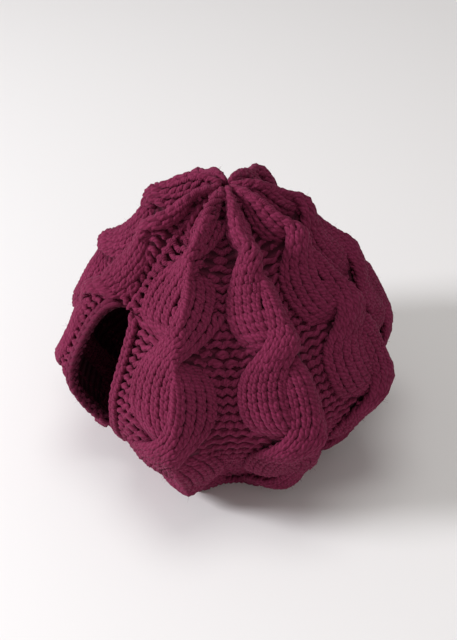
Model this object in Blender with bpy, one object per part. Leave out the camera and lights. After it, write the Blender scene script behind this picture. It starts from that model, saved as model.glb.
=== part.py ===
"""A tea cosy of thick cable knitting: two like panels sewn to each other at the sides and gathered at the crown.

Metres, +Z up. The cosy stands on its hem at z = 0, with the middle of its box over the origin. The spout
opening faces -X and the handle opening +X. Angles run round the cosy from -Y, the front, towards +X.
"""

from collections import namedtuple
from math import cos, hypot, pi, radians, sin

import bmesh
import bpy

# The cloth
WALL = 0.004  # thickness of the knitting
SEAM = 0.0003  # gap between the two panels along their seam
AXIS_X, AXIS_Y = -0.0009, 0.0024  # where the crown stands, off the middle of the box

# One side of the cosy from hem to crown, without its pleats: radius and height
Ring = namedtuple("Ring", "radius height")
PROFILE = (
    Ring(0.0515, 0.0000),
    Ring(0.0600, 0.0130),
    Ring(0.0690, 0.0255),
    Ring(0.0770, 0.0375),
    Ring(0.0805, 0.0510),
    Ring(0.0787, 0.0650),
    Ring(0.0716, 0.0797),
    Ring(0.0603, 0.0950),
    Ring(0.0460, 0.1100),
    Ring(0.0315, 0.1243),
    Ring(0.0185, 0.1358),
    Ring(0.0085, 0.1435),
    Ring(0.0030, 0.1455),
)

# Each cable stands up in a pleat. Its angle in degrees and its height in metres are given at four stations
# on the way from hem to crown, and sharp runs from 0, a round roll, to 1, a folded edge.
Pleat = namedtuple("Pleat", "at_hem at_belly at_shoulder at_crown hem belly shoulder crown sharp")
STATIONS = (0.0, 0.32, 0.68, 0.92)
PLEATS = (
    Pleat(-109, -108, -106, -100, 0.0040, 0.0055, 0.0100, 0.0090, 0.3),
    Pleat(-50, -50, -55, -61, 0.0080, 0.0125, 0.0115, 0.0085, 0.9),
    Pleat(-9, -6, -11, -24, 0.0055, 0.0095, 0.0100, 0.0070, 0.2),
    Pleat(34, 33, 31, 22, 0.0035, 0.0055, 0.0095, 0.0090, 0.3),
    Pleat(73, 74, 72, 66, 0.0040, 0.0075, 0.0085, 0.0095, 0.4),
    Pleat(124, 126, 124, 118, 0.0040, 0.0070, 0.0110, 0.0090, 0.4),
    Pleat(170, 168, 168, 165, 0.0040, 0.0060, 0.0085, 0.0085, 0.4),
    Pleat(212, 211, 210, 207, 0.0040, 0.0055, 0.0085, 0.0120, 0.4),
)

# The flat channel before each pleat, in degrees, as it leaves the hem and as it reaches the crown
Channel = namedtuple("Channel", "at_hem at_crown")
CHANNELS = (
    Channel(-132, -127),
    Channel(-84, -80),
    Channel(-31, -39),
    Channel(6, -2),
    Channel(49, 44),
    Channel(92, 92),
    Channel(144, 142),
    Channel(186, 186),
)
CHANNEL_HALF_WIDTH = 2.5

# The cables puff out at each crossing and along the leaf between two crossings.
CABLE_PITCH = 0.043  # from one crossing to the next, along the cloth
CABLE_START = 0.019  # from the hem to the first crossing
CABLE_PUFF = 0.0010

# The side openings, at -90 and 90 degrees: lowest and highest point, and half the width in degrees
Slit = namedtuple("Slit", "low high half_width")
SPOUT = Slit(0.023, 0.098, 10.0)
HANDLE = Slit(0.023, 0.110, 8.0)
SLIT_ROUNDNESS = 0.35  # 1 is a pointed leaf, 0 a rectangle

# The mesh of each panel
COLUMNS = 54
ROWS = 21

WOOL_COLOUR = (0.120, 0.020, 0.048, 1.0)
WOOL_ROUGHNESS = 0.95


def smooth_through(places, values, at):
    """The value at a place, on a smooth curve through the values given at the places."""
    last = len(places) - 1
    i = 0
    while i < last - 1 and at > places[i + 1]:
        i += 1

    def slope(k):
        low, high = max(k - 1, 0), min(k + 1, last)
        return (values[high] - values[low]) / (places[high] - places[low])

    span = places[i + 1] - places[i]
    u = (at - places[i]) / span
    return (
        (2 * u**3 - 3 * u**2 + 1) * values[i]
        + (u**3 - 2 * u**2 + u) * span * slope(i)
        + (3 * u**2 - 2 * u**3) * values[i + 1]
        + (u**3 - u**2) * span * slope(i + 1)
    )


def ease(u):
    """0 to 1 without a corner at either end."""
    u = min(max(u, 0.0), 1.0)
    return u * u * (3 - 2 * u)


def distances_along(rings):
    """How far each ring is from the hem along the cloth."""
    total = [0.0]
    for low, high in zip(rings, rings[1:]):
        total.append(total[-1] + hypot(high.radius - low.radius, high.height - low.height))
    return total


ALONG = distances_along(PROFILE)
LENGTH = ALONG[-1]
RADII = [ring.radius for ring in PROFILE]
HEIGHTS = [ring.height for ring in PROFILE]
PLEAT_PLACES = [*STATIONS, 1.0]


def profile_point(up):
    """Radius and height of the unpleated cloth, up from 0 at the hem to 1 at the crown."""
    return smooth_through(ALONG, RADII, up * LENGTH), smooth_through(ALONG, HEIGHTS, up * LENGTH)


def profile_normal(up):
    """The outward direction (radial, upward): level at the hem, so it stays flat, and upright at the crown."""
    step = 0.001
    r0, z0 = profile_point(max(up - step, 0.0))
    r1, z1 = profile_point(min(up + step, 1.0))
    radial = (z1 - z0) * ease((1 - up) / 0.06)
    upward = (r0 - r1) * ease(up / 0.15)
    length = hypot(radial, upward)
    return radial / length, upward / length


def pleat_angle(pleat, up):
    angles = [pleat.at_hem, pleat.at_belly, pleat.at_shoulder, pleat.at_crown, pleat.at_crown]
    return smooth_through(PLEAT_PLACES, angles, up)


def pleat_height(pleat, up):
    heights = [pleat.hem, pleat.belly, pleat.shoulder, pleat.crown, 0.0]
    crossing = cos(2 * pi * (up * LENGTH - CABLE_START) / CABLE_PITCH)
    return smooth_through(PLEAT_PLACES, heights, up) + CABLE_PUFF * crossing * ease((1 - up) / 0.2)


def channel_angle(number, up):
    """The angle of a channel. The one after the last pleat is the first, a full turn on."""
    turns, number = divmod(number, len(CHANNELS))
    channel = CHANNELS[number]
    return channel.at_hem + (channel.at_crown - channel.at_hem) * ease(up) + 360 * turns


def fold(angle, up):
    """How far the pleats lift the cloth at an angle, in metres."""
    for number, pleat in enumerate(PLEATS):
        before, after = channel_angle(number, up), channel_angle(number + 1, up)
        if (angle - before) % 360 < after - before:
            break
    centre = pleat_angle(pleat, up)
    off = (angle - before) % 360 + before - centre
    flank = centre - before if off < 0 else after - centre
    share = min(abs(off) / (flank - CHANNEL_HALF_WIDTH), 1.0)
    rolled = cos(pi / 2 * share) ** 1.6
    creased = (1 - share) ** 1.6
    return pleat_height(pleat, up) * ((1 - pleat.sharp) * rolled + pleat.sharp * creased)


def slit_half_width(slit, up):
    """Half the opening's width in degrees at a height on the cloth, 0 where the seam is sewn."""
    height = profile_point(up)[1]
    across = (height - slit.low) / (slit.high - slit.low)
    if not 0 < across < 1:
        return 0.0
    return slit.half_width * sin(pi * across) ** SLIT_ROUNDNESS


def cloth_point(angle, up, depth):
    """A point of the cloth, depth below its outer face."""
    radius, height = profile_point(up)
    radial, upward = profile_normal(up)
    lift = fold(angle, up) - depth
    radius += radial * lift
    height += upward * lift
    turn = radians(angle)
    return radius * sin(turn), -radius * cos(turn), height


def knitted_panel(name, middle, first_slit, last_slit, material):
    """One panel: a grid laid over half of the cosy, with its second face a wall's thickness inside the first."""
    mesh = bpy.data.meshes.new(name)
    panel = bpy.data.objects.new(name, mesh)
    bpy.context.collection.objects.link(panel)
    mesh.materials.append(material)

    bm = bmesh.new()
    bmesh.ops.create_grid(bm, x_segments=COLUMNS, y_segments=ROWS, size=1.0)
    inside = list(bm.verts)
    made = bmesh.ops.extrude_face_region(bm, geom=list(bm.faces), use_keep_orig=True)
    outside = [item for item in made["geom"] if isinstance(item, bmesh.types.BMVert)]
    apart = -SEAM / 2 * cos(radians(middle))
    for verts, depth in ((inside, WALL), (outside, 0.0)):
        for vert in verts:
            across, up = (vert.co.x + 1) / 2, (vert.co.y + 1) / 2
            first = middle - 90 + slit_half_width(first_slit, up)
            last = middle + 90 - slit_half_width(last_slit, up)
            x, y, z = cloth_point(first + (last - first) * across, up, depth)
            vert.co = (x + AXIS_X, y + AXIS_Y + apart, z)
    bmesh.ops.recalc_face_normals(bm, faces=list(bm.faces))
    bmesh.ops.triangulate(bm, faces=list(bm.faces))
    bm.to_mesh(mesh)
    bm.free()
    mesh.shade_smooth()
    mesh.set_sharp_from_angle(angle=radians(50))
    return panel


def wool():
    material = bpy.data.materials.new("plum_wool")
    material.use_nodes = True
    shader = material.node_tree.nodes["Principled BSDF"]
    shader.inputs["Base Color"].default_value = WOOL_COLOUR
    shader.inputs["Roughness"].default_value = WOOL_ROUGHNESS
    return material


for old in list(bpy.data.objects):
    bpy.data.objects.remove(old)

plum_wool = wool()
knitted_panel("front_panel", 0, SPOUT, HANDLE, plum_wool)
knitted_panel("back_panel", 180, HANDLE, SPOUT, plum_wool)
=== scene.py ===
from collections import namedtuple
from math import cos, pi, radians, sin

import bmesh
import bpy
import numpy as np
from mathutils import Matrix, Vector


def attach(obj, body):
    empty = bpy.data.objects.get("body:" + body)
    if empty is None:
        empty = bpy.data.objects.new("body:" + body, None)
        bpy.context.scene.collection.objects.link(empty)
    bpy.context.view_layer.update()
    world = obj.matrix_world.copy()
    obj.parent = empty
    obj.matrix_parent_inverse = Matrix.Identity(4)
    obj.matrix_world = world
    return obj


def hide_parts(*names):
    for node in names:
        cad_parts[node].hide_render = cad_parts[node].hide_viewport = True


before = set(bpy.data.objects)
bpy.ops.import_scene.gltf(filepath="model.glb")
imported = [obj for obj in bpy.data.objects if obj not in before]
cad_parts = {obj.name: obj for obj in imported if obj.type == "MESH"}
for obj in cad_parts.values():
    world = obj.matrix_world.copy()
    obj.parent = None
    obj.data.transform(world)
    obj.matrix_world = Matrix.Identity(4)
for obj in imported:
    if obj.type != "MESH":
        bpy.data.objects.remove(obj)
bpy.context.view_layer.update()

# Camera: a little above the cosy, on the spout side of its front, as one looks at it across a table.
# It comes first, so that everything after it can be looked at.
CAMERA_TURN, CAMERA_RISE, CAMERA_AWAY = radians(-35.0), radians(37.5), 0.62
LENS_MM = 68.3
AIM = Vector((0.0002, 0.0021, 0.0655))

camera = bpy.data.objects.new("camera", bpy.data.cameras.new("camera"))
bpy.context.collection.objects.link(camera)
camera.data.lens = LENS_MM
camera.data.clip_start = 0.01
level = cos(CAMERA_RISE)
towards = Vector((sin(CAMERA_TURN) * level, -cos(CAMERA_TURN) * level, sin(CAMERA_RISE)))
camera.location = AIM + towards * CAMERA_AWAY
camera.rotation_euler = towards.to_track_quat("Z", "Y").to_euler()
bpy.context.scene.camera = camera


# Backing cloth: the body of the knitting, a thin sheet inside each panel. Its stitches are laid on it, and it
# keeps light from showing through between them. It hangs in the eight pleats of the cables, over the crown's
# gather, and is open at the sides for spout and handle. It is coloured darker than the yarn, as painted shade
# between the stitches.
# One side of the cosy from hem to crown, without its pleats
Ring = namedtuple("Ring", "radius height")
PROFILE = (
    Ring(0.0515, 0.0000),
    Ring(0.0600, 0.0130),
    Ring(0.0690, 0.0255),
    Ring(0.0770, 0.0375),
    Ring(0.0805, 0.0510),
    Ring(0.0787, 0.0650),
    Ring(0.0716, 0.0797),
    Ring(0.0603, 0.0950),
    Ring(0.0460, 0.1100),
    Ring(0.0315, 0.1243),
    Ring(0.0185, 0.1358),
    Ring(0.0085, 0.1435),
    Ring(0.0030, 0.1455),
)
# Each cable stands up in a pleat: its angle in degrees and its height at four stations on the way up, and how
# sharply it is folded, from 0, a round roll, to 1, a crease
Pleat = namedtuple("Pleat", "at_hem at_belly at_shoulder at_crown hem belly shoulder crown sharp")
STATIONS = np.array((0.0, 0.32, 0.68, 0.92, 1.0))
PLEATS = (
    Pleat(-109, -108, -106, -100, 0.0040, 0.0055, 0.0100, 0.0090, 0.3),
    Pleat(-50, -50, -55, -61, 0.0080, 0.0125, 0.0115, 0.0085, 0.9),
    Pleat(-9, -6, -11, -24, 0.0055, 0.0095, 0.0100, 0.0070, 0.2),
    Pleat(34, 33, 31, 22, 0.0035, 0.0055, 0.0095, 0.0090, 0.3),
    Pleat(73, 74, 72, 66, 0.0040, 0.0075, 0.0085, 0.0095, 0.4),
    Pleat(124, 126, 124, 118, 0.0040, 0.0070, 0.0110, 0.0090, 0.4),
    Pleat(170, 168, 168, 165, 0.0040, 0.0060, 0.0085, 0.0085, 0.4),
    Pleat(212, 211, 210, 207, 0.0040, 0.0055, 0.0085, 0.0120, 0.4),
)
# The flat channel before each pleat, in degrees, as it leaves the hem and as it reaches the crown
Channel = namedtuple("Channel", "at_hem at_crown")
CHANNELS = (
    Channel(-132, -127),
    Channel(-84, -80),
    Channel(-31, -39),
    Channel(6, -2),
    Channel(49, 44),
    Channel(92, 92),
    Channel(144, 142),
    Channel(186, 186),
)
CHANNEL_HALF_WIDTH = 2.5
CABLE_PITCH, CABLE_START = 0.043, 0.019  # from one crossing to the next, and from the hem to the first
CABLE_PUFF, PUFF_FADE = 0.0010, 0.2  # how far a crossing puffs out, and where that fades before the crown
FOLD_POWER = 1.6  # how quickly a pleat rises from its channels
CROWN_TURN, HEM_TURN = 0.06, 0.15  # where the outward direction turns upright at the crown, level at the hem
# The side openings: lowest and highest point, and half the width in degrees
Slit = namedtuple("Slit", "low high half_width")
SPOUT = Slit(0.023, 0.098, 10.0)
HANDLE = Slit(0.023, 0.110, 8.0)
SLIT_ROUNDNESS = 0.35  # 1 is a pointed leaf, 0 a rectangle
AXIS_X, AXIS_Y = -0.0009, 0.0024  # where the crown stands, off the middle of the box

RADII = np.array([ring.radius for ring in PROFILE])
HEIGHTS = np.array([ring.height for ring in PROFILE])
ALONG = np.concatenate(([0.0], np.cumsum(np.hypot(np.diff(RADII), np.diff(HEIGHTS)))))
LENGTH = ALONG[-1]


def smooth_through(places, values, at):
    """Values at places of an array, on a smooth curve through the values given."""
    places, values = np.asarray(places, float), np.asarray(values, float)
    number = np.arange(len(places))
    low, high = np.maximum(number - 1, 0), np.minimum(number + 1, len(places) - 1)
    slope = (values[high] - values[low]) / (places[high] - places[low])
    i = np.clip(np.searchsorted(places, at, side="right") - 1, 0, len(places) - 2)
    span = places[i + 1] - places[i]
    u = (at - places[i]) / span
    return (
        (2 * u**3 - 3 * u**2 + 1) * values[i]
        + (u**3 - 2 * u**2 + u) * span * slope[i]
        + (3 * u**2 - 2 * u**3) * values[i + 1]
        + (u**3 - u**2) * span * slope[i + 1]
    )


def ease(u):
    """0 to 1 without a corner at either end."""
    u = np.clip(u, 0.0, 1.0)
    return u * u * (3 - 2 * u)


def channel_angle(number, up):
    """The angle of a channel. The one after the last pleat is the first, a full turn on."""
    turns, number = divmod(number, len(CHANNELS))
    channel = CHANNELS[number]
    return channel.at_hem + (channel.at_crown - channel.at_hem) * ease(up) + 360 * turns


def pleat_angle(pleat, up):
    angles = (pleat.at_hem, pleat.at_belly, pleat.at_shoulder, pleat.at_crown, pleat.at_crown)
    return smooth_through(STATIONS, angles, up)


def fold(angle, up):
    """How far the pleats lift the cloth."""
    lift = np.zeros_like(angle)
    for number, pleat in enumerate(PLEATS):
        before, after = channel_angle(number, up), channel_angle(number + 1, up)
        round_from = (angle - before) % 360
        off = round_from + before - pleat_angle(pleat, up)
        flank = np.where(off < 0, pleat_angle(pleat, up) - before, after - pleat_angle(pleat, up))
        share = np.minimum(np.abs(off) / (flank - CHANNEL_HALF_WIDTH), 1.0)
        heights = (pleat.hem, pleat.belly, pleat.shoulder, pleat.crown, 0.0)
        puff = CABLE_PUFF * np.cos(2 * pi * (up * LENGTH - CABLE_START) / CABLE_PITCH)
        height = smooth_through(STATIONS, heights, up) + puff * ease((1 - up) / PUFF_FADE)
        rolled = np.cos(pi / 2 * share).clip(0) ** FOLD_POWER
        creased = (1 - share) ** FOLD_POWER
        shape = (1 - pleat.sharp) * rolled + pleat.sharp * creased
        lift = np.where(round_from < after - before, height * shape, lift)
    return lift


def cloth_point(angle, up, depth=0.0):
    """Points of the cloth, depth below its outer face."""
    step = 0.001
    at = up * LENGTH
    ends = np.minimum(up + step, 1.0) * LENGTH, np.maximum(up - step, 0.0) * LENGTH
    rise = smooth_through(ALONG, HEIGHTS, ends[0]) - smooth_through(ALONG, HEIGHTS, ends[1])
    run = smooth_through(ALONG, RADII, ends[0]) - smooth_through(ALONG, RADII, ends[1])
    radial, upward = rise * ease((1 - up) / CROWN_TURN), -run * ease(up / HEM_TURN)
    length = np.hypot(radial, upward)
    lift = fold(angle, up) - depth
    radius = smooth_through(ALONG, RADII, at) + radial / length * lift
    height = smooth_through(ALONG, HEIGHTS, at) + upward / length * lift
    turn = np.radians(angle)
    return np.stack((AXIS_X + radius * np.sin(turn), AXIS_Y - radius * np.cos(turn), height), axis=-1)


def slit_half_width(slit, up):
    """Half of an opening's width in degrees at a height, 0 where the seam is sewn."""
    height = smooth_through(ALONG, HEIGHTS, up * LENGTH)
    across = np.clip((height - slit.low) / (slit.high - slit.low), 0.0, 1.0)
    return slit.half_width * np.sin(pi * across).clip(0) ** SLIT_ROUNDNESS


Panel = namedtuple("Panel", "name middle first_slit last_slit first_pleat")
PANELS = (
    Panel("front", 0, SPOUT, HANDLE, 1),
    Panel("back", 180, HANDLE, SPOUT, 5),
)
BACKING_DEPTH, BACKING_THICK = 0.0046, 0.0006
BACKING_INSET, BACKING_SHORT = 0.010, 2.2  # how far it ends above the hem and, in degrees, from the openings
BACKING_COLUMNS, BACKING_ROWS = 140, 64
SEAM = 0.0003  # gap between the two panels


def panel_edges(panel, up):
    """The angles of a panel's first and last edge."""
    first = panel.middle - 90 + slit_half_width(panel.first_slit, up)
    last = panel.middle + 90 - slit_half_width(panel.last_slit, up)
    return first, last


def backing(panel):
    """The panel's thin sheet: a grid, with its second face inside the first, and a map of its rows."""
    mesh = bpy.data.meshes.new(f"{panel.name}_cloth")
    cloth = bpy.data.objects.new(f"{panel.name}_cloth", mesh)
    bpy.context.collection.objects.link(cloth)
    bm = bmesh.new()
    bmesh.ops.create_grid(bm, x_segments=BACKING_COLUMNS, y_segments=BACKING_ROWS, size=1.0)
    rows_map = bm.loops.layers.uv.new("rows")
    for face in bm.faces:
        for corner in face.loops:
            corner[rows_map].uv = (corner.vert.co.xy + Vector((1, 1))) / 2
    inside = list(bm.verts)
    made = bmesh.ops.extrude_face_region(bm, geom=list(bm.faces), use_keep_orig=True)
    outside = [item for item in made["geom"] if isinstance(item, bmesh.types.BMVert)]
    for verts, depth in ((inside, BACKING_DEPTH + BACKING_THICK), (outside, BACKING_DEPTH)):
        across = np.array([(vert.co.x + 1) / 2 for vert in verts])
        up = np.array([(vert.co.y + 1) / 2 for vert in verts]) * (1 - BACKING_INSET) + BACKING_INSET
        first, last = panel_edges(panel, up)
        first = first + slit_half_width(panel.first_slit, up) / panel.first_slit.half_width * BACKING_SHORT
        last = last - slit_half_width(panel.last_slit, up) / panel.last_slit.half_width * BACKING_SHORT
        places = cloth_point(first + (last - first) * across, up, depth)
        places[:, 1] -= SEAM / 2 * cos(radians(panel.middle))
        for vert, place in zip(verts, places):
            vert.co = place
    bmesh.ops.recalc_face_normals(bm, faces=list(bm.faces))
    bm.to_mesh(mesh)
    bm.free()
    mesh.shade_smooth()
    return cloth


cloths = {panel.name: backing(panel) for panel in PANELS}


# Stitches: each panel is knitted in thick plied wool. Four rope cables run up it, each of two strands that
# cross over one another, with channels of purl stitches between them. Every row is one yarn, looped through
# the row below: knit stitches show the loops' legs, and purl stitches show their heads.
YARN = 0.0025  # across
ROWS = 42
MIDDLE_DEPTH = 0.0030  # of the yarn's middle, below the cloth's outer face
LEVELS = np.linspace(0.0, 1.0, ROWS * 4 + 1)
STRAND_WALES = 5
# The first half of one stitch of yarn, from its left neighbour to its head: places across in stitch widths,
# up in rows and out in yarn widths, and the yarn's own width there
Bend = namedtuple("Bend", "across up out width")
KNIT = (
    Bend(-0.50, -0.22, -0.62, 0.85),
    Bend(-0.22, -0.27, -0.45, 0.85),
    Bend(-0.09, -0.10, 0.22, 1.00),
    Bend(-0.13, 0.26, 0.46, 1.20),
    Bend(-0.21, 0.62, 0.50, 1.24),
    Bend(-0.27, 0.98, 0.40, 1.15),
    Bend(-0.29, 1.24, -0.18, 0.90),
    Bend(0.00, 1.36, -0.62, 0.85),
)
PURL = (
    Bend(-0.50, -0.10, 0.55, 1.28),
    Bend(-0.30, 0.04, 0.42, 1.22),
    Bend(-0.19, 0.24, -0.10, 1.00),
    Bend(-0.27, 0.62, -0.35, 0.95),
    Bend(-0.38, 0.94, 0.15, 1.08),
    Bend(-0.24, 1.14, 0.52, 1.22),
    Bend(0.00, 1.32, 0.62, 1.30),
)


def whole_stitch(half):
    """The half stitch and its mirror image, up to where the next stitch begins."""
    return np.array([*half, *(bend._replace(across=-bend.across) for bend in reversed(half[1:-1]))])


# A band of stitches up the panel: the piece it is in, where its middle runs round the panel, its width and
# lift, and how many stitches it has across, at every level
Group = namedtuple("Group", "piece purl place breadth lift count")
SWAP_SOFTNESS = 0.75  # how gently the two strands of a cable change sides
OVER_LIFT, UNDER_DROP = 0.0026, 0.0042  # of the strand in front and the one behind, where they cross
OVER_SPREAD, UNDER_SPREAD = 0.17, 0.20  # how far that reaches, as a share of the way between crossings
CROSSING_PULL = 0.10  # the share that a crossing takes off a strand's width
CREASE_PULL = 0.6  # the share that a sharp fold takes off the lift of the strand in front
TOP_WALES, DECREASE_FROM, DECREASE_TO = 2.0, 0.60, 0.97  # a strand's stitches at the crown, and the way to it
CHANNEL_GAP = 3.4  # degrees from the middle of a channel to the cable beside it
GAP_LOSS, GAP_FROM, GAP_OVER = 0.9, 0.45, 0.45  # the share of it that closes, from where, and over how long
# The outer edge of a panel's first and last cable, in degrees: from the seam, and how much closer it comes at
# the crown; and from the edge of the opening, and how much closer it comes above the opening
Side = namedtuple("Side", "from_seam seam_closing from_opening opening_closing")
FIRST_SIDE, LAST_SIDE = Side(14, 12, 9, 8), Side(5, 4, 7, 6)
SEAM_CLOSED = 0.9  # where the first change is complete, on the way from hem to crown
ABOVE_FROM, ABOVE_OVER = 0.52, 0.16  # where the second starts, and over how long
SELVEDGE, SELVEDGE_RISE = 0.0050, 0.0004  # the stitch along the edge of an opening
SELVEDGE_FULL, SELVEDGE_LEAST = 0.5, 0.6  # the opening's width that gives it in full, and its least width
PURL_WIDTH, PURL_DROP = 0.0052, 0.0028  # of a purl stitch, and how far it lies below the cables
SIDE_DROP, LEAST_PURL = 0.4, 0.3  # the share of that drop beside the seams, and of a stitch that is made
SMOOTHING = 8  # levels each way over which the purl stitches are counted
OVERHANG = 0.0025  # of a cable's widest part over the purl stitches beside it
STRAND_DOME, DOME_MIDDLE = 0.0020, 0.7  # how much each strand is rounded across, and its middle's share
ARC_POINTS = 400


def arc_table(panel):
    """For each level, angles from edge to edge and how far round each lies along the pleated cloth."""
    share = np.linspace(0.0, 1.0, ARC_POINTS)
    first, last = panel_edges(panel, LEVELS)
    angles = first[:, None] + (last - first)[:, None] * share
    places = cloth_point(angles, np.broadcast_to(LEVELS[:, None], angles.shape))
    steps = np.linalg.norm(np.diff(places, axis=1), axis=2)
    around = np.concatenate((np.zeros((len(LEVELS), 1)), np.cumsum(steps, axis=1)), axis=1)
    return angles, around


def knitted_groups(panel):
    """The panel's bands of stitches: two strands for each cable, the purl stitches, and the selvedges."""
    angles, around = arc_table(panel)

    def along(angle):
        return np.array([np.interp(a, row, s) for a, row, s in zip(angle, angles, around)])

    first, last = panel_edges(panel, LEVELS)
    phase = (LEVELS * LENGTH - CABLE_START) / CABLE_PITCH
    swap = np.tanh(np.sin(pi * phase) / SWAP_SOFTNESS) / np.tanh(1 / SWAP_SOFTNESS)
    off_crossing = (phase + 0.5) % 1 - 0.5
    over = np.exp(-((off_crossing / OVER_SPREAD) ** 2))
    under = np.exp(-((off_crossing / UNDER_SPREAD) ** 2))
    forward = np.where(np.floor(phase + 0.5) % 2 == 0, 1.0, -1.0)  # which strand is in front at this crossing
    gap = CHANNEL_GAP * (1 - GAP_LOSS * ease((LEVELS - GAP_FROM) / GAP_OVER))
    to_seam, to_crown = ease(LEVELS / SEAM_CLOSED), ease((LEVELS - ABOVE_FROM) / ABOVE_OVER)
    decreased = np.clip((LEVELS - DECREASE_FROM) / (DECREASE_TO - DECREASE_FROM), 0.0, 1.0)
    count = STRAND_WALES + (TOP_WALES - STRAND_WALES) * decreased

    groups, outer = [], []
    for number in range(4):
        pleat = PLEATS[(panel.first_pleat + number) % len(PLEATS)]
        left = channel_angle(panel.first_pleat + number, LEVELS) + gap
        right = channel_angle(panel.first_pleat + number + 1, LEVELS) - gap
        if number == 0:
            side = FIRST_SIDE
            from_seam = panel.middle - 90 + side.from_seam - side.seam_closing * to_seam
            left = np.maximum(from_seam, first + side.from_opening - side.opening_closing * to_crown)
        if number == 3:
            side = LAST_SIDE
            from_seam = panel.middle + 90 - side.from_seam + side.seam_closing * to_seam
            right = np.minimum(from_seam, last - side.from_opening + side.opening_closing * to_crown)
        low, high = along(left), along(right)
        middle, half = (low + high) / 2, (high - low) / 2
        tight = 1 - CROSSING_PULL * over
        clear = half * (0.5 * np.abs(swap) + 0.5 * tight) - OVERHANG * np.abs(swap)
        outer.append((middle - clear, middle + clear))
        for sign in (-1.0, 1.0):
            centre = middle + sign * 0.5 * half * swap
            raised = OVER_LIFT * (1 - CREASE_PULL * pleat.sharp) * over
            lift = np.where(forward * sign > 0, raised, -UNDER_DROP * under)
            groups.append(Group(number, False, centre, half * tight, lift, count))

    total = around[:, -1]
    selvedges = []
    for slit in (panel.first_slit, panel.last_slit):
        opened = slit_half_width(slit, LEVELS) / slit.half_width
        selvedges.append(SELVEDGE * np.minimum(opened / SELVEDGE_FULL, 1.0))
    lows = [selvedges[0]] + [cable[1] for cable in outer]
    highs = [cable[0] for cable in outer] + [total - selvedges[1]]
    for number, (low, high) in enumerate(zip(lows, highs)):
        window = 2 * SMOOTHING + 1
        wide = np.convolve(np.pad(high - low, SMOOTHING, mode="edge"), np.ones(window) / window, mode="valid")
        made = wide > LEAST_PURL * PURL_WIDTH
        count = np.where(made, np.maximum(np.round(wide / PURL_WIDTH), 1.0), 0.0)
        drop = np.full_like(LEVELS, -PURL_DROP * (SIDE_DROP if number in (0, 4) else 1.0))
        groups.append(Group(4 + number // 3, True, (low + high) / 2, high - low, drop, count))
    for place, width in zip((selvedges[0] / 2, total - selvedges[1] / 2), selvedges):
        count = np.where(width > SELVEDGE_LEAST * SELVEDGE, 1.0, 0.0)
        breadth, raised = np.full_like(LEVELS, SELVEDGE), np.full_like(LEVELS, SELVEDGE_RISE)
        groups.append(Group(5, False, place, breadth, raised, count))
    return groups, angles, around


def cloth_normal(angle, up):
    """The outward direction of the pleated cloth, taken over about one stitch each way."""
    turn, climb = 1.2, 0.006
    across = cloth_point(angle + turn, up) - cloth_point(angle - turn, up)
    above, below = np.minimum(up + climb, 1.0), np.maximum(up - climb, 0.0)
    upwards = cloth_point(angle, above) - cloth_point(angle, below)
    normal = np.cross(across, upwards)
    return normal / np.linalg.norm(normal, axis=-1, keepdims=True)


def yarn_mesh(name, runs, roundness=1):
    """A mesh of yarns: each run is an array of points and one of widths as a share of YARN. Roundness 0 makes
    square yarns and 1 six-sided ones."""
    curve = bpy.data.curves.new(name, "CURVE")
    curve.dimensions = "3D"
    curve.bevel_depth = YARN / 2
    curve.bevel_resolution = roundness
    curve.use_fill_caps = True
    for points, widths in runs:
        spline = curve.splines.new("POLY")
        spline.points.add(len(points) - 1)
        homogeneous = np.concatenate((points, np.ones((len(points), 1))), axis=1)
        spline.points.foreach_set("co", homogeneous.ravel())
        spline.points.foreach_set("radius", widths)
    holder = bpy.data.objects.new(f"{name}_path", curve)
    bpy.context.collection.objects.link(holder)
    mesh = bpy.data.meshes.new_from_object(holder.evaluated_get(bpy.context.evaluated_depsgraph_get()))
    bpy.data.objects.remove(holder)
    mesh.name = name
    piece = bpy.data.objects.new(name, mesh)
    bpy.context.collection.objects.link(piece)
    mesh.shade_smooth()
    lengthen_maps(mesh, runs)
    return piece


def lengthen_maps(mesh, runs):
    """Makes each yarn's UV map run on along it in yarn widths, so that its twist is even."""
    sides = len(mesh.vertices) // sum(len(points) for points, _ in runs)
    starts = np.cumsum([0] + [len(points) * sides for points, _ in runs])
    lengths = np.array([np.linalg.norm(np.diff(p, axis=0), axis=1).sum() / YARN for p, _ in runs])
    corner = np.empty(len(mesh.loops), np.int32)
    mesh.loops.foreach_get("vertex_index", corner)
    uv = np.empty(len(mesh.loops) * 2, np.float32)
    layer = mesh.uv_layers[0].uv
    layer.foreach_get("vector", uv)
    uv = uv.reshape(-1, 2)
    run = np.clip(np.searchsorted(starts, corner, side="right") - 1, 0, len(runs) - 1)
    uv[:, 0] *= lengths[run]
    layer.foreach_set("vector", uv.ravel())


def unevenness(angle, up):
    """The small rises and hollows of hand knitting."""
    turn = np.radians(angle)
    return (
        np.sin(5 * turn + 19 * up + 0.7) + np.sin(13 * turn - 31 * up) + np.sin(23 * turn + 47 * up + 1.9)
    ) / 3


LEAST_COUNT = 0.6  # a band with fewer stitches than this ends
END_OUT = -0.6  # yarn widths out, at both ends of a row's yarn
LOWEST, HIGHEST = 0.002, 0.998  # places on the way from hem to crown
ROUGH_HEIGHT, ROUGH_PLACE, ROUGH_TURN = 0.0004, 0.0012, 40  # unevenness in height and place, and its offset
TREMOR, THICK_AND_THIN = 0.00012, 0.03  # random spread of the yarn's height and of a row's yarn width


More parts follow.
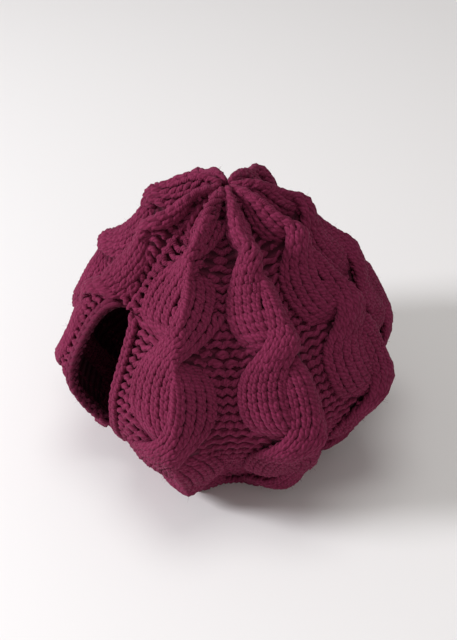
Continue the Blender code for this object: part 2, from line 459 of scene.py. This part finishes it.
def stitch_runs(panel, group, angles, around, chance):
    """The group's yarn, a run for each row."""
    runs = []
    bends = whole_stitch(PURL if group.purl else KNIT)
    for row in range(ROWS):
        count = np.interp((row + 0.5) / ROWS, LEVELS, group.count)
        if count < LEAST_COUNT:
            continue
        wales = int(count + 0.499)
        across = np.concatenate([bends[:, 0] + wale for wale in range(wales)] + [[wales - 0.5]])
        up, out, width = (np.append(np.tile(bends[:, n], wales), bends[0, n]) for n in (1, 2, 3))
        out[0] = out[-1] = END_OUT
        place = np.clip((row + up) / ROWS, LOWEST, HIGHEST)
        sideways = (across + 0.5) / count - 0.5
        level_number = place * (len(LEVELS) - 1)
        below = np.minimum(level_number.astype(int), len(LEVELS) - 2)
        part = level_number - below

        def at_place(values):
            return values[below] * (1 - part) + values[below + 1] * part

        arc = at_place(group.place) + sideways * at_place(group.breadth)
        angle = np.array([
            np.interp(a, around[b], angles[b]) * (1 - p) + np.interp(a, around[b + 1], angles[b + 1]) * p
            for a, b, p in zip(arc, below, part)
        ])
        dome = STRAND_DOME * (DOME_MIDDLE - (2 * sideways) ** 2) if wales > 1 and not group.purl else 0.0
        rough = ROUGH_HEIGHT * unevenness(angle, place)
        height = -MIDDLE_DEPTH + out * YARN + at_place(group.lift) + dome + rough
        height = height + chance.normal(0, TREMOR, len(height))
        place = np.clip(place + ROUGH_PLACE * unevenness(angle + ROUGH_TURN, place), LOWEST, HIGHEST)
        points = cloth_point(angle, place) + cloth_normal(angle, place) * height[:, None]
        points[:, 1] -= SEAM / 2 * cos(radians(panel.middle))
        widths = width * (1 + chance.normal(0, THICK_AND_THIN))
        points[:, 2] = np.maximum(points[:, 2], YARN / 2 * widths)
        runs.append((points, widths))
    return runs


HEM_LEVEL = 2  # of the levels, the one that the cast-on edge follows
HEM_STITCH, HEM_TWIST, HEM_POINTS = 0.0056, 0.0010, 10  # length of a turn, its radius, and its points
HEM_DEPTH = MIDDLE_DEPTH - 0.0006


def hem_runs(panel, angles, around):
    """The cast-on edge: two yarns twisted round each other, a turn for each stitch."""
    length = around[HEM_LEVEL, -1]
    arc = np.linspace(0.0, length, int(length / HEM_STITCH * HEM_POINTS))
    angle = np.interp(arc, around[HEM_LEVEL], angles[HEM_LEVEL])
    middle = cloth_point(angle, np.full_like(angle, LEVELS[HEM_LEVEL]), HEM_DEPTH)
    middle[:, 1] -= SEAM / 2 * cos(radians(panel.middle))
    middle[:, 2] = HEM_TWIST + YARN / 2
    outward = np.stack((np.sin(np.radians(angle)), -np.cos(np.radians(angle)), np.zeros_like(angle)), axis=1)
    upward = np.array((0.0, 0.0, 1.0))
    runs = []
    for start in (0.0, pi):
        turn = (2 * pi * arc / HEM_STITCH + start)[:, None]
        points = middle + HEM_TWIST * (outward * np.cos(turn) + upward * np.sin(turn))
        runs.append((points, np.ones(len(points))))
    return runs


PIECE_NAMES = ("cable_1", "cable_2", "cable_3", "cable_4", "purl", "edges")
stitches, all_runs = {}, {}
for panel in PANELS:
    all_runs[panel.name] = []
    chance = np.random.default_rng(7 + panel.middle)
    groups, angles, around = knitted_groups(panel)
    for number, piece_name in enumerate(PIECE_NAMES):
        runs = []
        for group in groups:
            if group.piece == number:
                runs += stitch_runs(panel, group, angles, around, chance)
        if piece_name == "edges":
            runs += hem_runs(panel, angles, around)
        stitches[panel.name, piece_name] = yarn_mesh(f"{panel.name}_{piece_name}", runs)
        all_runs[panel.name] += runs


# Bloom: the loose fibres that stand out of the wool all over the cosy. Each is the free end of a hair that is
# spun into the yarn, a millimetre or two long and slightly curved.
HAIRS, HAIR, HAIR_LENGTH = 3500, 0.00009, 0.0020  # on each panel, and their thickness and greatest length
HAIR_POINTS, HAIR_TIP = 3, 0.4  # points in each, and the tip's share of the thickness
HAIR_LEAN, HAIR_BOW = 0.75, 0.5  # random spread of the direction and of the curve
HAIR_SHORTEST = 0.5  # share of the greatest length
INSIDE = np.array((AXIS_X, AXIS_Y, 0.05))  # the hairs lean away from here


def hair_runs(runs, chance):
    """Hairs rooted at random places of the yarn, leaning any way outwards."""
    yarn_points = np.concatenate([points for points, _ in runs])
    roots = yarn_points[chance.integers(0, len(yarn_points), HAIRS)]
    away = roots - INSIDE
    away /= np.linalg.norm(away, axis=1, keepdims=True)
    lean = away + chance.normal(0, HAIR_LEAN, (HAIRS, 3))
    bow = chance.normal(0, HAIR_BOW, (HAIRS, 3))
    length = HAIR_LENGTH * chance.uniform(HAIR_SHORTEST, 1.0, (HAIRS, 1))
    along = np.linspace(0.0, 1.0, HAIR_POINTS)[:, None]
    widths = np.linspace(1.0, HAIR_TIP, HAIR_POINTS) * HAIR / YARN
    hairs = []
    for root, leaning, bowed, reach in zip(roots, lean, bow, length):
        points = root + reach * (leaning * along + bowed * along**2)
        points[:, 2] = np.maximum(points[:, 2], HAIR)
        hairs.append((points, widths))
    return hairs


for panel in PANELS:
    chance = np.random.default_rng(31 + panel.middle)
    hairs = hair_runs(all_runs[panel.name], chance)
    stitches[panel.name, "bloom"] = yarn_mesh(f"{panel.name}_bloom", hairs, roundness=0)


# Seams: the panels are sewn edge to edge with the same yarn, below each opening and from above it to the
# crown. The yarn runs from side to side through the edge stitches, a turn for each row, into the gather.
SEAM_SWAY, SEAM_DEPTH = 0.0006, 0.0038
SEAM_YARN, SEAM_POINTS = 0.95, 8  # width as a share of YARN, and points in each row
HEM_END, CROWN_END = 0.004, 0.985  # where it starts and stops on the way from hem to crown
LEAST_OPENING = 0.1  # degrees
Seam = namedtuple("Seam", "name angle slit")
SEAMS = (Seam("spout_seam", -90, SPOUT), Seam("handle_seam", 90, HANDLE))


def seam_runs(seam):
    """The sewing yarn of a seam: one run below the opening, and one above it to the middle of the gather."""
    opening = np.flatnonzero(slit_half_width(seam.slit, LEVELS) > LEAST_OPENING)
    runs = []
    for start, end in ((HEM_END, LEVELS[opening[0]]), (LEVELS[opening[-1]], CROWN_END)):
        up = np.linspace(start, end, int((end - start) * ROWS * SEAM_POINTS))
        radius = smooth_through(ALONG, RADII, up * LENGTH) + fold(np.full_like(up, seam.angle), up)
        sway = SEAM_SWAY * np.sin(2 * pi * up * ROWS)
        points = cloth_point(seam.angle + np.degrees(sway / radius), up, SEAM_DEPTH)
        points[:, 2] = np.maximum(points[:, 2], YARN / 2)
        if end == CROWN_END:
            points = np.concatenate((points, [(AXIS_X, AXIS_Y, HEIGHTS[-1] - SEAM_DEPTH)]))
        runs.append((points, np.full(len(points), SEAM_YARN)))
    return runs


seam_yarns = [yarn_mesh(seam.name, seam_runs(seam)) for seam in SEAMS]


# Wool: thick plied yarn, plum, matt and slightly fuzzy. The plies are twisted round each other, which shows
# as slanting grooves along the yarn. The light colour is the yarn's own; the dark one is random fleck tone
# and painted shade in the ply grooves.
WOOL_LIGHT = (0.200, 0.021, 0.066, 1.0)
WOOL_DARK_FLECKS_AND_GROOVE_SHADE = (0.075, 0.006, 0.020, 1.0)


Noise = namedtuple("Noise", "scale detail share")
FIBRES, TUFTS = Noise(1100.0, 3.0, 0.60), Noise(70.0, 2.0, 0.55)


def wool_fibres():
    """Mixes light and dark wool by a pattern of waves, painted shade in their grooves, and adds the random
    tone of fibre tufts and flecks.
    """
    group = bpy.data.node_groups.new("wool_fibres", "ShaderNodeTree")
    group.interface.new_socket(name="Pattern", in_out="INPUT", socket_type="NodeSocketFloat")
    group.interface.new_socket(name="Light", in_out="INPUT", socket_type="NodeSocketColor")
    group.interface.new_socket(name="Dark", in_out="INPUT", socket_type="NodeSocketColor")
    group.interface.new_socket(name="Colour", in_out="OUTPUT", socket_type="NodeSocketColor")
    group.interface.new_socket(name="Height", in_out="OUTPUT", socket_type="NodeSocketFloat")
    nodes, links = group.nodes, group.links
    given, put_out = nodes.new("NodeGroupInput"), nodes.new("NodeGroupOutput")
    coords = nodes.new("ShaderNodeTexCoord")
    mixed = given.outputs["Pattern"]
    for fleck in (FIBRES, TUFTS):
        noise = nodes.new("ShaderNodeTexNoise")
        noise.inputs["Scale"].default_value = fleck.scale
        noise.inputs["Detail"].default_value = fleck.detail
        links.new(coords.outputs["Object"], noise.inputs["Vector"])
        centred = nodes.new("ShaderNodeMath")
        centred.operation = "SUBTRACT"
        centred.inputs[1].default_value = 0.5
        links.new(noise.outputs["Fac"], centred.inputs[0])
        added = nodes.new("ShaderNodeMath")
        added.operation = "MULTIPLY_ADD"
        added.inputs[1].default_value = fleck.share
        links.new(centred.outputs[0], added.inputs[0])
        links.new(mixed, added.inputs[2])
        mixed = added.outputs[0]
    colour = nodes.new("ShaderNodeMix")
    colour.data_type = "RGBA"
    links.new(mixed, colour.inputs["Factor"])
    links.new(given.outputs["Dark"], colour.inputs["A"])
    links.new(given.outputs["Light"], colour.inputs["B"])
    links.new(colour.outputs["Result"], put_out.inputs["Colour"])
    links.new(mixed, put_out.inputs["Height"])
    return group


fibre_and_shade_group = wool_fibres()


def wool_material(name, light, dark, across, along, strength, bump_height):
    """Wool with a pattern of waves on the piece's own map, so many across it and along it: the colour is
    painted darker in the waves' grooves, as painted shade, and the same pattern bumps them.
    """
    material = bpy.data.materials.new(name)
    material.use_nodes = True
    nodes, links = material.node_tree.nodes, material.node_tree.links
    shader = nodes["Principled BSDF"]
    shader.inputs["Roughness"].default_value = 0.9
    shader.inputs["Sheen Weight"].default_value = 0.10
    shader.inputs["Sheen Roughness"].default_value = 0.5
    shader.inputs["Sheen Tint"].default_value = (0.8, 0.3, 0.45, 1.0)
    shader.inputs["Specular IOR Level"].default_value = 0.10
    own_map = nodes.new("ShaderNodeUVMap")
    split = nodes.new("ShaderNodeSeparateXYZ")
    links.new(own_map.outputs["UV"], split.inputs[0])
    place = None
    for axis, number in (("X", along), ("Y", across)):
        turned = nodes.new("ShaderNodeMath")
        turned.operation = "MULTIPLY_ADD"
        turned.inputs[1].default_value = 2 * pi * number
        turned.inputs[2].default_value = 0.0
        links.new(split.outputs[axis], turned.inputs[0])
        if place:
            links.new(place, turned.inputs[2])
        place = turned.outputs[0]
    wave = nodes.new("ShaderNodeMath")
    wave.operation = "SINE"
    links.new(place, wave.inputs[0])
    pattern = nodes.new("ShaderNodeMapRange")
    pattern.inputs["From Min"].default_value = -1.0
    pattern.inputs["To Min"].default_value = 0.5 - strength / 2
    pattern.inputs["To Max"].default_value = 0.5 + strength / 2
    links.new(wave.outputs[0], pattern.inputs["Value"])
    wool_look = nodes.new("ShaderNodeGroup")
    wool_look.node_tree = fibre_and_shade_group
    wool_look.inputs["Light"].default_value = light
    wool_look.inputs["Dark"].default_value = dark
    links.new(pattern.outputs["Result"], wool_look.inputs["Pattern"])
    links.new(wool_look.outputs["Colour"], shader.inputs["Base Color"])
    bump = nodes.new("ShaderNodeBump")
    bump.inputs["Strength"].default_value = 0.7
    bump.inputs["Distance"].default_value = bump_height
    links.new(wool_look.outputs["Height"], bump.inputs["Height"])
    links.new(bump.outputs["Normal"], shader.inputs["Normal"])
    return material


PLIES, PLY_TURNS = 3, 0.45  # turns of the twist for each yarn width of length
# PLY_CONTRAST: how much darker the ply grooves are painted, as painted shade; it also scales their bump.
PLY_CONTRAST, PLY_GROOVE = 0.4, 0.0006
wool = wool_material("plum_wool", WOOL_LIGHT, WOOL_DARK_FLECKS_AND_GROOVE_SHADE, PLIES, PLIES * PLY_TURNS, PLY_CONTRAST, PLY_GROOVE)

# Each row shows on the backing as a ridge. The backing is painted darker than the yarn, as painted shade
# between the stitches, and darker still between its ridges, as painted shade in the grooves.
BACKING_RIDGES_PAINTED_SHADE = (0.080, 0.008, 0.024, 1.0)
BACKING_GROOVES_PAINTED_SHADE = (0.030, 0.003, 0.009, 1.0)
ROW_CONTRAST, ROW_GROOVE = 1.0, 0.0015
painted_shade_backing_wool = wool_material("wool_backing", BACKING_RIDGES_PAINTED_SHADE, BACKING_GROOVES_PAINTED_SHADE, ROWS, 0.0, ROW_CONTRAST, ROW_GROOVE)

for piece in seam_yarns:
    piece.data.materials.append(wool)
    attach(piece, "root")

for panel in PANELS:
    cloth = cloths[panel.name]
    cloth.data.materials.append(painted_shade_backing_wool)
    with_cloth = []
    for (name, piece_name), piece in stitches.items():
        if name == panel.name:
            piece.data.materials.append(wool)
            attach(piece, "root")
            with_cloth.append(piece)
    if panel.name == "front":
        with_cloth += seam_yarns
    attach(cloth, "root")
    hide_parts(f"{panel.name}_panel")


# Floor and light: a plain pale surface under soft studio light, brighter from the upper left.
floor = bpy.data.objects.new("floor", bpy.data.meshes.new("floor"))
bpy.context.collection.objects.link(floor)
bm = bmesh.new()
bmesh.ops.create_grid(bm, x_segments=1, y_segments=1, size=3.0)
bm.to_mesh(floor.data)
bm.free()
pale = bpy.data.materials.new("pale_floor")
pale.use_nodes = True
pale.node_tree.nodes["Principled BSDF"].inputs["Base Color"].default_value = (0.78, 0.77, 0.75, 1.0)
pale.node_tree.nodes["Principled BSDF"].inputs["Roughness"].default_value = 0.9
floor.data.materials.append(pale)


def soft_light(name, place, size, power, tint=(1.0, 1.0, 1.0)):
    data = bpy.data.lights.new(name, "AREA")
    data.shape = "DISK"
    data.size = size
    data.energy = power
    data.color = tint
    light = bpy.data.objects.new(name, data)
    bpy.context.collection.objects.link(light)
    light.location = place
    light.rotation_euler = (Vector(place) - Vector((0, 0, 0.07))).to_track_quat("Z", "Y").to_euler()


soft_light("key", (-1.18, 0.56, 0.70), 0.40, 23.5, (1.0, 1.0, 1.06))
soft_light("front", (-0.15, -1.25, 0.16), 1.0, 3.8, (1.0, 0.96, 0.92))
soft_light("top", (0.0, 0.1, 1.3), 0.8, 5.0)

world = bpy.data.worlds.new("room")
bpy.context.scene.world = world
world.use_nodes = True
world.node_tree.nodes["Background"].inputs["Color"].default_value = (0.83, 0.80, 0.80, 1.0)
world.node_tree.nodes["Background"].inputs["Strength"].default_value = 0.45
bpy.context.scene.view_settings.view_transform = "Standard"
